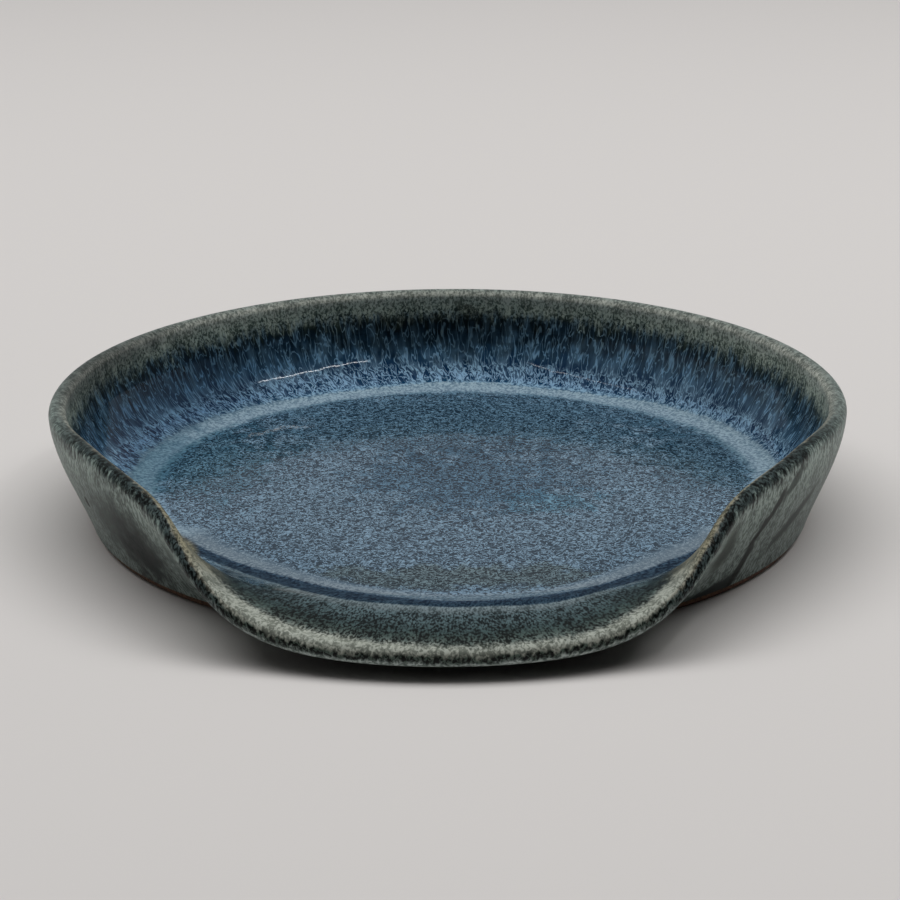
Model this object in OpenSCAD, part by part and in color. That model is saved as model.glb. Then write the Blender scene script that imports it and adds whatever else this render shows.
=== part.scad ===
// A wheel-thrown stoneware spoon rest. It is a shallow round dish whose wall is pressed
// out and down at the front, into a wide lip that carries the spoon's handle.
// The front is -Y, the table is z = 0 and the origin is the middle of the flat foot.

/* [Rim] */
// Radius of the rim, to its outermost point
rim_r = 70; // [60:0.5:80]
// Height of the rim's top above the table
rim_top = 21.3; // [17:0.2:28]
// Finished thickness of the rim, which is fully round
rim_thick = 3.1; // [2.4:0.1:4.4]
// Sideways lean of the rim from the foot, as thrown by hand
rim_lean = -0.3; // [-2:0.1:2]

/* [Wall] */
// How far the wall leans out, from its start inside to the rim's outermost point
wall_run = 12; // [9:0.5:15]
// How far the line of the outer wall meets the table outside the wall's start
wall_base = 5.2; // [4:0.1:7]
// Length over which the floor turns up into the wall
fillet = 3.4; // [2:0.1:5]

/* [Floor] */
// Height of the finished floor above the table
floor_z = 4.2; // [3:0.1:6]
// Sideways shift of the floor's middle from the foot's, as trimmed by hand
floor_shift = 1.3; // [-2:0.1:2]
// Width of the shallow ring between the flat floor and the wall
ring_w = 5.5; // [3:0.1:6.5]
// Rise of that ring from the floor to the wall
ring_rise = 0.6; // [0.2:0.1:1.4]

/* [Foot] */
// Width of the bevel that is trimmed round the foot
foot_bevel = 0.9; // [0.5:0.1:2]
// Height of the bare clay band, where the glaze stops
foot_band = 1.4; // [1:0.1:2.4]

/* [Lip] */
// Angle of the pressed lip above level
lip_angle = 0; // [-1:0.2:8]
// Angle round the dish from the front to the lip's left side
lip_left = 31.6; // [20:0.2:42]
// Angle round the dish from the front to the lip's right side
lip_right = 30.6; // [20:0.2:42]
// Softness of the lip's two sides, as an angle round the dish
lip_soft = 5; // [3:0.2:8]
// Angle by which the wall leans in just beside the lip
draw_in = 3.5; // [0:0.5:5]

/* [Glaze] */
// Thickness of each glaze coat
coat = 0.5; // [0.3:0.05:0.8]

/* [Hidden] */

// Where the wall starts inside, with the ring and the floor within it and the foot below it
wall_r = rim_r - wall_run;
wall_z = floor_z + ring_rise;
floor_r = wall_r - ring_w;
foot_r = wall_r + wall_base;

// The ring bends up at this share of its width
ring_bend_share = 0.6;
ring_angle = atan2(ring_rise, ring_w * (1 - ring_bend_share));

// The pressed wall turns about a circle inside the clay, just under the wall's start
hinge_out = 1;
hinge_down = 1.25;
hinge = [wall_r + hinge_out, wall_z - hinge_down];

// Middle of the rim's round edge where the wall isn't pressed
rim_mid = [rim_r - rim_thick / 2, rim_top - rim_thick / 2];
wall_len = norm(rim_mid - hinge);
rim_angle = atan2(rim_mid.y - hinge.y, rim_mid.x - hinge.x);

// The standing wall curves up from its middle line: a little at the foot, more at the rim
foot_turn = 11.5;
rim_turn = 27;
foot_flare = foot_band / tan(rim_angle + foot_turn);
foot_edge = [foot_r + foot_flare, foot_band];

// Place and spread of the drawn-in wall beside the lip, as angles round the dish
draw_at = 62;
draw_spread = 12;

// Lengths of the curves' handles, as shares of the stretch that each curve spans
inner_handle_share = 0.42;
outer_handle_share = 0.33;

// How far up the wall the liner reaches: behind, and at the lip
line_back_share = 0.7;
line_lip_share = 0.22;

// Sections stand close together round the lip and wider apart behind
lip_span = 75;
lip_step = 2.5;
back_step = 5;
sections = [
    for (a = [-lip_span : lip_step : lip_span]) a,
    for (a = [lip_span + back_step : back_step : 360 - lip_span - back_step]) a
];
section_count = len(sections);

// Steps along each stretch of the section, from the floor over the rim to the foot
ring_steps = 3;
low_steps = 7;
high_steps = 3;
rim_steps = 7;
outer_steps = 6;
bevel_steps = 3;
line_row = ring_steps + low_steps;
last_row = line_row + high_steps + rim_steps + outer_steps;

// Share by which the wall is pressed at an angle from the front, from 0 to 1
function edge(a) = 1 / (1 + exp(-a / lip_soft));
function signed(a) = a > 180 ? a - 360 : a;
function press(a) = edge(signed(a) + lip_left) * edge(lip_right - signed(a));

// Angle of the wall's middle line above level
function drawn(a) = draw_in * exp(-pow((abs(signed(a)) - draw_at) / draw_spread, 2));
function wall_angle(a) = rim_angle + (lip_angle - rim_angle) * press(a) + drawn(a);

function along(angle) = [cos(angle), sin(angle)];
function normal_of(d) = [-d.y, d.x] / norm(d);

// A point on a curve, sunk by depth into the clay
function sunk(point, direction, depth) = point - depth * normal_of(direction);
function on_curve(p, t, depth) =
    let (
        s = 1 - t,
        point = p[0] * s * s * s + p[1] * 3 * s * s * t + p[2] * 3 * s * t * t + p[3] * t * t * t,
        direction = (p[1] - p[0]) * s * s + (p[2] - p[1]) * 2 * s * t + (p[3] - p[2]) * t * t
    )
    sunk(point, direction, depth);

// Four points of the ring's curve, from the flat floor to the wall's start
function ring_curve() =
    let (
        start = [floor_r, floor_z],
        bend = [floor_r + ring_w * ring_bend_share, floor_z],
        end = [wall_r, wall_z]
    )
    [start, (start + 2 * bend) / 3, (end + 2 * bend) / 3, end];

// Middle of the rim's round edge, and the direction of the wall there
function edge_mid(a) = hinge + wall_len * along(wall_angle(a));
function edge_angle(a) = wall_angle(a) + rim_turn * (1 - press(a));
function foot_angle(a) = wall_angle(a) + foot_turn * (1 - press(a));

// Four points of the inner wall's curve and of the outer wall's
function inner_curve(a) =
    let (
        start = [wall_r, wall_z],
        up = along(edge_angle(a)),
        end = edge_mid(a) + rim_thick / 2 * normal_of(up),
        handle = inner_handle_share * norm(end - start)
    )
    [start, start + fillet * along(ring_angle), end - handle * up, end];
function outer_curve(a) =
    let (
        up = along(edge_angle(a)),
        start = edge_mid(a) - rim_thick / 2 * normal_of(up),
        foot_up = along(foot_angle(a)),
        handle = outer_handle_share * norm(start - foot_edge)
    )
    [start, start - handle * up, foot_edge + handle * foot_up, foot_edge];

// A point of the rim's round edge, turned from the inner wall towards the outer one
function on_rim(a, turn, depth) = edge_mid(a) + (rim_thick / 2 - depth) * along(edge_angle(a) + 90 - turn);

// How far up the wall the liner reaches at an angle from the front
function line_share(a) = line_back_share + (line_lip_share - line_back_share) * press(a);

// The section at an angle from the front: rows from the floor over the rim to the foot
function skin(a, depth) =
    let (
        ring = ring_curve(),
        inner = inner_curve(a),
        outer = outer_curve(a),
        line = line_share(a)
    )
    [
        for (i = [0 : ring_steps]) on_curve(ring, i / ring_steps, depth),
        for (i = [1 : low_steps]) on_curve(inner, line * i / low_steps, depth),
        for (i = [1 : high_steps]) on_curve(inner, line + (1 - line) * i / high_steps, depth),
        for (i = [1 : rim_steps]) on_rim(a, 180 * i / rim_steps, depth),
        for (i = [1 : outer_steps]) on_curve(outer, i / outer_steps, depth)
    ];

// The bevel under the bare band, from the end of the glaze to the flat foot
function bevel(a) =
    let (
        start = skin(a, coat)[last_row],
        bend = [foot_r, 0],
        end = [foot_r - foot_bevel, 0]
    )
    [
        for (i = [1 : bevel_steps])
            let (t = i / bevel_steps, s = 1 - t)
            start * s * s + bend * 2 * s * t + end * t * t
    ];

// Share of the floor's shift that a point takes: all inside the wall, none outside it
function ease(t) = t * t * (3 - 2 * t);
function shifted(r) = ease(max(0, min(1, (foot_r - r) / wall_base)));

// A section's point in its place round the dish, with the floor's shift and the rim's lean
function place(a, p) = [
    p.x * sin(a) + floor_shift * shifted(p.x) + rim_lean * p.y / rim_top,
    -p.x * cos(a),
    p.y
];

// Points of the rows from first to last, section by section
function layer(depth, first, last) = [
    for (a = sections)
        let (rows = skin(a, depth))
        for (r = [first : last]) place(a, rows[r])
];

// Two triangles on a, b, c and d, always split from a to c so that touching faces agree
function patch(a, b, c, d, inward) = inward ? [[a, c, b], [a, d, c]] : [[a, b, c], [a, c, d]];

// Faces between neighbouring sections of one layer
function sheet(start, rows, inward) = [
    for (s = [0 : section_count - 1], r = [0 : rows - 2])
        let (a = start + s * rows + r, b = start + (s + 1) % section_count * rows + r)
        each patch(a, b, b + 1, a + 1, inward)
];

// Faces that close the gap between two layers along one row
function hem(outside, inside, rows, r, inward) = [
    for (s = [0 : section_count - 1])
        let (here = s * rows + r, next = (s + 1) % section_count * rows + r)
        each patch(outside + here, outside + next, inside + next, inside + here, inward)
];

// The round face across one row, seen from above or from below
function disc(start, rows, r, above) = [
    for (s = [0 : section_count - 1])
        start + (above ? section_count - 1 - s : s) * rows + r
];

// The thrown and pressed clay, with its flat foot and trimmed bevel
module clay_body() {
    rows = last_row + bevel_steps + 1;
    points = [
        for (a = sections)
            each [for (p = concat(skin(a, coat), bevel(a))) place(a, p)]
    ];
    color("#8c6b52")
        polyhedron(
            points,
            concat([disc(0, rows, 0, true), disc(0, rows, rows - 1, false)], sheet(0, rows, false))
        );
}

// The blue glaze that was poured over the floor, the ring and most of the wall inside
module liner_glaze() {
    rows = line_row + 1;
    inside = section_count * rows;
    color("#4c6f8f")
        polyhedron(
            concat(layer(0, 0, line_row), layer(coat, 0, line_row)),
            concat(
                [disc(0, rows, 0, true), disc(inside, rows, 0, false)],
                sheet(0, rows, false),
                sheet(inside, rows, true),
                hem(0, inside, rows, line_row, false)
            )
        );
}

// The grey-green glaze over the rim, the lip and the outside, down to the bare band
module rim_glaze() {
    rows = last_row - line_row + 1;
    inside = section_count * rows;
    color("#5f6b64")
        polyhedron(
            concat(layer(0, line_row, last_row), layer(coat, line_row, last_row)),
            concat(
                sheet(0, rows, false),
                sheet(inside, rows, true),
                hem(0, inside, rows, 0, true),
                hem(0, inside, rows, rows - 1, false)
            )
        );
}

clay_body();
liner_glaze();
rim_glaze();
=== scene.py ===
"""Dresses a thrown stoneware spoon rest in its two glazes, on a pale studio floor.

The dish is a shallow round one, whose wall is pressed out at the front (-Y) into a wide lip.
Lengths are real ones: millimetres in the classes, turned to metres where a mesh is made.
Angles are degrees, and an angle round the dish is measured from the front towards +X.
"""

import logging
import math
from dataclasses import dataclass
from enum import Enum
from typing import Any, NamedTuple

import bpy
import numpy as np
from mathutils import Matrix, Vector


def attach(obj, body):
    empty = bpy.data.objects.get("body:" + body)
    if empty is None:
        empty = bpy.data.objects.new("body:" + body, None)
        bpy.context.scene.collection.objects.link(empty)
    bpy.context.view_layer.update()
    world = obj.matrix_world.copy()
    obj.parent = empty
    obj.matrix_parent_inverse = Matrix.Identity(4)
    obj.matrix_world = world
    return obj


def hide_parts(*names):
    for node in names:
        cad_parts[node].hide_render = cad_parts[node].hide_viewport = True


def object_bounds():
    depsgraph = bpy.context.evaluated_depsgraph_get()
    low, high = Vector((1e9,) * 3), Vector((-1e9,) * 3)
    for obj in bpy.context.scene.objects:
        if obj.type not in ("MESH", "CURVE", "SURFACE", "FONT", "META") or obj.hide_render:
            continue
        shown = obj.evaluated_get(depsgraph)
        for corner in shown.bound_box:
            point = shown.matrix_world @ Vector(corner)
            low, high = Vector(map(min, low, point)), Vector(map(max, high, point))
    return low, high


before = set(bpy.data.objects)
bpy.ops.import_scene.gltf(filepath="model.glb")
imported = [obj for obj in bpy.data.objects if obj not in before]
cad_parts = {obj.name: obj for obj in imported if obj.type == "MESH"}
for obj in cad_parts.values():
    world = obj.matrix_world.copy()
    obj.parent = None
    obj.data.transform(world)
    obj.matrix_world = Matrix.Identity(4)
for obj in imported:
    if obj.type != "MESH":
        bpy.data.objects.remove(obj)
CAD_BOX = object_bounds()

LOG = logging.getLogger("spoon_rest")
MM = 0.001
FLOW = "glaze_flow"
LIP = "lip_share"

Tree = bpy.types.NodeTree
Socket = bpy.types.NodeSocket


class Layer(Enum):
    """The three layers that the dish is made of, by their node's name."""

    CLAY = "clay_body"
    LINER = "liner_glaze"
    RIM = "rim_glaze"


class Stretch(Enum):
    """The stretches of a layer's outline."""

    FLOOR = "floor"
    WALL = "wall"
    BEVEL = "bevel"
    FOOT = "foot"


class OutlineRow(NamedTuple):
    """One row of a layer's outline.

    value is the row's radius on the floor, its number on the wall, or its share along the bevel or
    the foot. depth is how deep it lies under the glaze's face, in millimetres.
    """

    stretch: Stretch
    value: float
    depth: float


def linear(hex_colour: str) -> tuple[float, float, float, float]:
    """Turns an sRGB hex colour into the linear one that a shader takes.

    Args:
        hex_colour: A colour such as "#4c6f8f".

    Returns:
        Red, green and blue as linear shares, and a full alpha.
    """
    shares = [int(hex_colour[i : i + 2], 16) / 255 for i in (1, 3, 5)]
    light = [c / 12.92 if c <= 0.04045 else ((c + 0.055) / 1.055) ** 2.4 for c in shares]
    return (*light, 1.0)


def add_node(tree: Tree, kind: str, inputs: dict | None = None, **settings: Any) -> Any:
    """Adds a node to a tree, with its settings, values and links.

    Args:
        tree: The node tree.
        kind: The node's type, such as "ShaderNodeTexNoise".
        inputs: For an input's name or number, the socket that feeds it or its value.
        **settings: The node's own properties.

    Returns:
        The new node.
    """
    node = tree.nodes.new(kind)
    for name, value in settings.items():
        setattr(node, name, value)
    for key, value in (inputs or {}).items():
        if isinstance(value, Socket):
            tree.links.new(value, node.inputs[key])
        else:
            node.inputs[key].default_value = value
    return node


def start_material(name: str) -> bpy.types.Material:
    """Starts a material whose node tree is empty.

    Args:
        name: The material's name.

    Returns:
        The material.
    """
    material = bpy.data.materials.new(name)
    material.use_nodes = True
    material.node_tree.nodes.clear()
    return material


def per_mm(size: float) -> float:
    """The scale that draws a pattern's features at a size in millimetres."""
    return 1 / (size * MM)


@dataclass(frozen=True)
class DishSizes:
    """The dish's driving sizes, as its maker would measure them, in millimetres and degrees."""

    rim_r: float = 70.0
    rim_top: float = 21.3
    rim_thick: float = 3.1
    rim_lean: float = -0.3
    wall_run: float = 12.0
    wall_base: float = 5.2
    fillet: float = 3.4
    floor_z: float = 4.2
    floor_shift: float = 1.3
    ring_w: float = 5.5
    ring_rise: float = 0.6
    foot_bevel: float = 0.9
    foot_band: float = 1.4
    lip_angle: float = 0.0
    lip_left: float = 31.6
    lip_right: float = 30.6
    lip_soft: float = 5.0
    draw_in: float = 3.5
    draw_at: float = 62.0
    draw_spread: float = 12.0
    coat: float = 0.5
    hinge_out: float = 1.0
    hinge_down: float = 1.25
    rim_turn: float = 27.0
    foot_turn: float = 11.5
    ring_bend_share: float = 0.6
    inner_handle_share: float = 0.42
    outer_handle_share: float = 0.33
    line_back_share: float = 0.7
    line_lip_share: float = 0.22

    @property
    def wall_r(self) -> float:
        """Radius at which the wall starts inside."""
        return self.rim_r - self.wall_run

    @property
    def wall_z(self) -> float:
        """Height at which the wall starts inside."""
        return self.floor_z + self.ring_rise

    @property
    def floor_r(self) -> float:
        """Radius of the flat floor."""
        return self.wall_r - self.ring_w

    @property
    def foot_r(self) -> float:
        """Radius at which the line of the outer wall meets the table."""
        return self.wall_r + self.wall_base

    @property
    def flow_r(self) -> float:
        """Radius in the middle of the wall, round which the glaze's flow is laid out."""
        return (self.wall_r + self.rim_r) / 2


def turned(angle: np.ndarray) -> np.ndarray:
    """Unit vectors at angles in degrees, one row each."""
    radians = np.radians(np.atleast_1d(angle))
    return np.stack([np.cos(radians), np.sin(radians)], axis=-1)


@dataclass(frozen=True)
class Section:
    """The wall's section at any angle round the dish, from the floor's edge over the rim to the foot."""

    sizes: DishSizes
    ring_steps: int = 8
    low_steps: int = 20
    high_steps: int = 8
    rim_steps: int = 16
    outer_steps: int = 24
    bevel_steps: int = 5

    @property
    def line_row(self) -> int:
        """Row at which the liner ends and the rim's glaze starts."""
        return self.ring_steps + self.low_steps

    @property
    def crest_row(self) -> int:
        """Row at the crest of the rim's round edge."""
        return self.line_row + self.high_steps + self.rim_steps // 2

    @property
    def last_row(self) -> int:
        """Row at which the glaze stops above the foot."""
        return self.line_row + self.high_steps + self.rim_steps + self.outer_steps

    def press(self, angle: np.ndarray) -> np.ndarray:
        """How far the wall is pressed down into the lip.

        Args:
            angle: Angles round the dish, from -180 to 180.

        Returns:
            A share from 0 to 1 at each angle.
        """
        z = self.sizes
        left = 1 / (1 + np.exp(-(angle + z.lip_left) / z.lip_soft))
        right = 1 / (1 + np.exp(-(z.lip_right - angle) / z.lip_soft))
        return left * right

    def rows(self, angle: np.ndarray, depth: float) -> np.ndarray:
        """Points of the section at each angle, sunk by a depth into the clay.

        Args:
            angle: Angles round the dish, from -180 to 180.
            depth: How deep under the glaze's face the points lie.

        Returns:
            An array of angles by rows by radius and height.
        """
        z = self.sizes
        press = self.press(angle)
        hinge = np.array([z.wall_r + z.hinge_out, z.wall_z - z.hinge_down])
        rim_mid = np.array([z.rim_r - z.rim_thick / 2, z.rim_top - z.rim_thick / 2])
        reach = rim_mid - hinge
        standing = math.degrees(math.atan2(reach[1], reach[0]))
        drawn = z.draw_in * np.exp(-(((np.abs(angle) - z.draw_at) / z.draw_spread) ** 2))
        wall = standing + (z.lip_angle - standing) * press + drawn
        edge = wall + z.rim_turn * (1 - press)
        middle = hinge + np.hypot(*reach) * turned(wall)

        bend = np.array([z.floor_r + z.ring_w * z.ring_bend_share, z.floor_z])
        start = np.array([z.floor_r, z.floor_z])
        wall_start = np.array([z.wall_r, z.wall_z])
        ring_out = turned(math.degrees(math.atan2(*(wall_start - bend)[::-1])))
        ring = [start, (start + 2 * bend) / 3, (wall_start + 2 * bend) / 3, wall_start]

        up = turned(edge)
        side = np.stack([-up[:, 1], up[:, 0]], axis=-1)
        rim_in = middle + z.rim_thick / 2 * side
        rim_out = middle - z.rim_thick / 2 * side
        in_handle = z.inner_handle_share * np.linalg.norm(rim_in - wall_start, axis=1)[:, None]
        inner = [wall_start, wall_start + z.fillet * ring_out, rim_in - in_handle * up, rim_in]
        flare = z.foot_band / math.tan(math.radians(standing + z.foot_turn))
        foot_edge = np.array([z.foot_r + flare, z.foot_band])
        foot_up = turned(wall + z.foot_turn * (1 - press))
        out_handle = z.outer_handle_share * np.linalg.norm(rim_out - foot_edge, axis=1)[:, None]
        outer = [rim_out, rim_out - out_handle * up, foot_edge + out_handle * foot_up, foot_edge]

        line = z.line_back_share + (z.line_lip_share - z.line_back_share) * press
        stretches = [self.curve(ring, np.zeros_like(line), i / self.ring_steps, depth)
                     for i in range(self.ring_steps + 1)]
        stretches += [self.curve(inner, line * i / self.low_steps, 0, depth)
                      for i in range(1, self.low_steps + 1)]
        stretches += [self.curve(inner, line + (1 - line) * i / self.high_steps, 0, depth)
                      for i in range(1, self.high_steps + 1)]
        stretches += [middle + (z.rim_thick / 2 - depth) * turned(edge + 90 - 180 * i / self.rim_steps)
                      for i in range(1, self.rim_steps + 1)]
        stretches += [self.curve(outer, np.zeros_like(line), i / self.outer_steps, depth)
                      for i in range(1, self.outer_steps + 1)]
        return np.stack(stretches, axis=1)

    @staticmethod
    def curve(points: list[np.ndarray], share: np.ndarray, more: float, depth: float) -> np.ndarray:
        """Points on a four-point curve, sunk by a depth towards its right.

        Args:
            points: The curve's four points, each one pair or a row of pairs.
            share: How far along the curve each point lies, from 0 to 1.
            more: A share that is added to all of them.
            depth: How far the points are sunk.

        Returns:
            One point for each share.
        """
        t = (share + more)[:, None]
        s = 1 - t
        a, b, c, d = points
        place = a * s**3 + 3 * b * s * s * t + 3 * c * s * t * t + d * t**3
        along = (b - a) * s * s + (c - b) * 2 * s * t + (d - c) * t * t
        along = along / np.linalg.norm(along, axis=1)[:, None]
        return place - depth * np.stack([-along[:, 1], along[:, 0]], axis=-1)

    def place(self, angle: np.ndarray, radius: np.ndarray, height: np.ndarray) -> np.ndarray:
        """Places points round the dish, with the floor's sideways shift and the rim's lean.

        Args:
            angle: Angle of each point round the dish.
            radius: Its distance from the axis.
            height: Its height above the table.

        Returns:
            One row of x, y and z in millimetres for each point.
        """
        z = self.sizes
        inside = np.clip((z.foot_r - radius) / z.wall_base, 0, 1)
        shift = z.floor_shift * inside * inside * (3 - 2 * inside)
        turn = np.radians(angle)
        x = radius * np.sin(turn) + shift + z.rim_lean * height / z.rim_top
        return np.stack([x, -radius * np.cos(turn), height], axis=-1)


@dataclass
class ThrownLayer:
    """One layer of the dish: its outline is drawn once, spun round the wheel and pressed at the lip.

    foot_shares are the shares of the flat foot's radius at which it has a row. merge is how near
    points are made one, in millimetres, and an edge that turns by more than sharp_angle stays sharp.
    """

    section: Section
    layer: Layer
    sections_round: int = 480
    floor_steps: int = 34
    foot_shares: tuple[float, ...] = (0.9, 0.6, 0.3, 0.0)
    merge: float = 0.002
    sharp_angle: float = 50.0

    def build(self) -> bpy.types.Object:
        """Models the layer.

        Returns:
            The finished piece, with its glaze flow and lip share on its points.
        """
        rows = self.outline()
        piece = self.spin(rows)
        self.press_lip(piece, rows)
        self.finish(piece)
        return piece

    def outline(self) -> list[OutlineRow]:
        """Draws the layer's closed outline.

        Returns:
            The outline's rows in order, from the axis or the liner's edge and back.
        """
        sec = self.section
        coat = sec.sizes.coat
        floor = [OutlineRow(Stretch.FLOOR, sec.sizes.floor_r * i / self.floor_steps, 0.0)
                 for i in range(self.floor_steps)]
        if self.layer is Layer.LINER:
            top = floor + [OutlineRow(Stretch.WALL, r, 0.0) for r in range(sec.line_row + 1)]
            return top + [row._replace(depth=coat) for row in reversed(top)]
        if self.layer is Layer.RIM:
            top = [OutlineRow(Stretch.WALL, r, 0.0) for r in range(sec.line_row, sec.last_row + 1)]
            return top + [row._replace(depth=coat) for row in reversed(top)]
        top = [row._replace(depth=coat) for row in floor]
        top += [OutlineRow(Stretch.WALL, r, coat) for r in range(sec.last_row + 1)]
        top += [OutlineRow(Stretch.BEVEL, (i + 1) / sec.bevel_steps, coat) for i in range(sec.bevel_steps)]
        return top + [OutlineRow(Stretch.FOOT, share, coat) for share in self.foot_shares]

    def points(self, rows: list[OutlineRow], angle: np.ndarray) -> np.ndarray:
        """Places the outline at each angle.

        Args:
            rows: The outline's rows.
            angle: Angles round the dish.

        Returns:
            An array of angles by outline rows by radius and height, in millimetres.
        """
        sec = self.section
        z = sec.sizes
        table = {depth: sec.rows(angle, depth) for depth in {row.depth for row in rows}}
        columns = []
        for stretch, value, depth in rows:
            if stretch is Stretch.WALL:
                columns.append(table[depth][:, value])
            elif stretch is Stretch.FLOOR:
                columns.append(np.tile([value, z.floor_z - depth], (len(angle), 1)))
            elif stretch is Stretch.BEVEL:
                start = table[depth][:, sec.last_row]
                bend = np.array([z.foot_r, 0.0])
                end = np.array([z.foot_r - z.foot_bevel, 0.0])
                rest = 1 - value
                columns.append(start * rest * rest + bend * 2 * rest * value + end * value * value)
            else:
                columns.append(np.tile([(z.foot_r - z.foot_bevel) * value, 0.0], (len(angle), 1)))
        return np.stack(columns, axis=1)

    def spin(self, rows: list[OutlineRow]) -> bpy.types.Object:
        """Spins the standing outline round the wheel.

        Args:
            rows: The outline's rows.

        Returns:
            The round piece, before its lip is pressed.
        """
        standing = self.points(rows, np.array([180.0]))[0] * MM
        bpy.ops.object.select_all(action="DESELECT")
        bpy.ops.mesh.primitive_circle_add(vertices=len(rows), radius=self.section.sizes.rim_thick * MM)
        piece = bpy.context.object
        piece.name = f"{self.layer.value}_piece"
        for vertex, (radius, height) in zip(piece.data.vertices, standing):
            vertex.co = (radius, 0.0, height)
        bpy.ops.object.mode_set(mode="EDIT")
        bpy.ops.mesh.select_all(action="DESELECT")
        bpy.ops.object.mode_set(mode="OBJECT")
        # An outline that starts on the axis stays open there, and the spin closes it
        starts_on_axis = standing[0][0] == 0.0
        if starts_on_axis:
            ends = {0, len(rows) - 1}
            for edge in piece.data.edges:
                edge.select = set(edge.vertices) == ends
            bpy.ops.object.mode_set(mode="EDIT")
            bpy.ops.mesh.select_mode(type="EDGE")
            bpy.ops.mesh.delete(type="EDGE")
            bpy.ops.object.mode_set(mode="OBJECT")
        bpy.ops.object.modifier_add(type="SCREW")
        wheel = piece.modifiers[-1]
        wheel.axis = "Z"
        wheel.steps = wheel.render_steps = self.sections_round
        wheel.use_merge_vertices = True
        bpy.ops.object.modifier_apply(modifier=wheel.name)
        bpy.ops.object.mode_set(mode="EDIT")
        bpy.ops.mesh.select_mode(type="VERT")
        bpy.ops.mesh.select_all(action="SELECT")
        bpy.ops.mesh.remove_doubles(threshold=self.merge * MM)
        bpy.ops.mesh.normals_make_consistent(inside=False)
        bpy.ops.object.mode_set(mode="OBJECT")
        return piece

    def press_lip(self, piece: bpy.types.Object, rows: list[OutlineRow]) -> None:
        """Presses the spun wall into the lip and stores how the glaze flowed on it.

        Args:
            piece: The spun piece.
            rows: The outline's rows.
        """
        mesh = piece.data
        co = np.zeros(len(mesh.vertices) * 3)
        mesh.vertices.foreach_get("co", co)
        co = co.reshape(-1, 3) / MM
        standing = self.points(rows, np.array([180.0]))[0]
        radius = np.hypot(co[:, 0], co[:, 1])
        here = np.stack([radius, co[:, 2]], axis=-1)
        row = np.linalg.norm(here[:, None, :] - standing[None, :, :], axis=2).argmin(axis=1)
        step = 360 / self.sections_round
        turn = np.degrees(np.arctan2(co[:, 0], -co[:, 1]))
        index = np.round((turn + 180) / step).astype(int) % self.sections_round
        angles = np.arange(self.sections_round) * step - 180
        table = self.points(rows, angles)
        # Each point goes from its row on the standing outline to the same row at its own angle
        spot = table[index, row]
        placed = self.section.place(angles[index], spot[:, 0], spot[:, 1])
        # The finer round rim would stand 0.04 mm out of the solids' own, so it is held in their box
        mesh.vertices.foreach_set("co", np.clip(placed * MM, *CAD_BOX).ravel())

        run = self.flow_lengths(rows, angles)[index, row]
        around = np.radians(angles[index])
        flow_r = self.section.sizes.flow_r
        flow = np.stack([flow_r * np.sin(around), -flow_r * np.cos(around), run], axis=-1) * MM
        attribute = mesh.attributes.new(FLOW, "FLOAT_VECTOR", "POINT")
        attribute.data.foreach_set("vector", flow.astype(np.float32).ravel())
        share = self.section.press(angles[index])
        attribute = mesh.attributes.new(LIP, "FLOAT", "POINT")
        attribute.data.foreach_set("value", share.astype(np.float32))
        mesh.update()

    def flow_lengths(self, rows: list[OutlineRow], angles: np.ndarray) -> np.ndarray:
        """Distance of each outline row from the rim's crest, positive inside and negative outside.

        Args:
            rows: The outline's rows.
            angles: Angles round the dish.

        Returns:
            An array of angles by outline rows, in millimetres.
        """
        sec = self.section
        line = sec.rows(angles, 0.0)
        steps = np.linalg.norm(np.diff(line, axis=1), axis=2)
        run = np.concatenate([np.zeros((len(angles), 1)), np.cumsum(steps, axis=1)], axis=1)
        from_crest = run[:, [sec.crest_row]] - run
        floor_r = sec.sizes.floor_r
        columns = []
        for stretch, value, _ in rows:
            if stretch is Stretch.WALL:
                columns.append(from_crest[:, value])
            elif stretch is Stretch.FLOOR:
                columns.append(from_crest[:, 0] + floor_r - value)
            else:
                columns.append(from_crest[:, sec.last_row])
        return np.stack(columns, axis=1)

    def finish(self, piece: bpy.types.Object) -> None:
        """Shades the piece smooth, with its true edges left sharp, and hands it to the frame.

        Args:
            piece: The pressed piece.
        """
        bpy.ops.object.select_all(action="DESELECT")
        piece.select_set(True)
        bpy.context.view_layer.objects.active = piece
        bpy.ops.object.shade_smooth_by_angle(angle=math.radians(self.sharp_angle))
        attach(piece, "root")
        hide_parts(self.layer.value)


# Noise runs about evenly this far to either side of its middle
NOISE_REACH = 0.12
# A fleck goes from none to full this far to either side of the noise's middle
FLECK_REACH = 0.11
# Pattern and cover together, at which the crystals start to show and at which they hide all
COVER_LOW = 0.55
COVER_HIGH = 1.45


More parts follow.
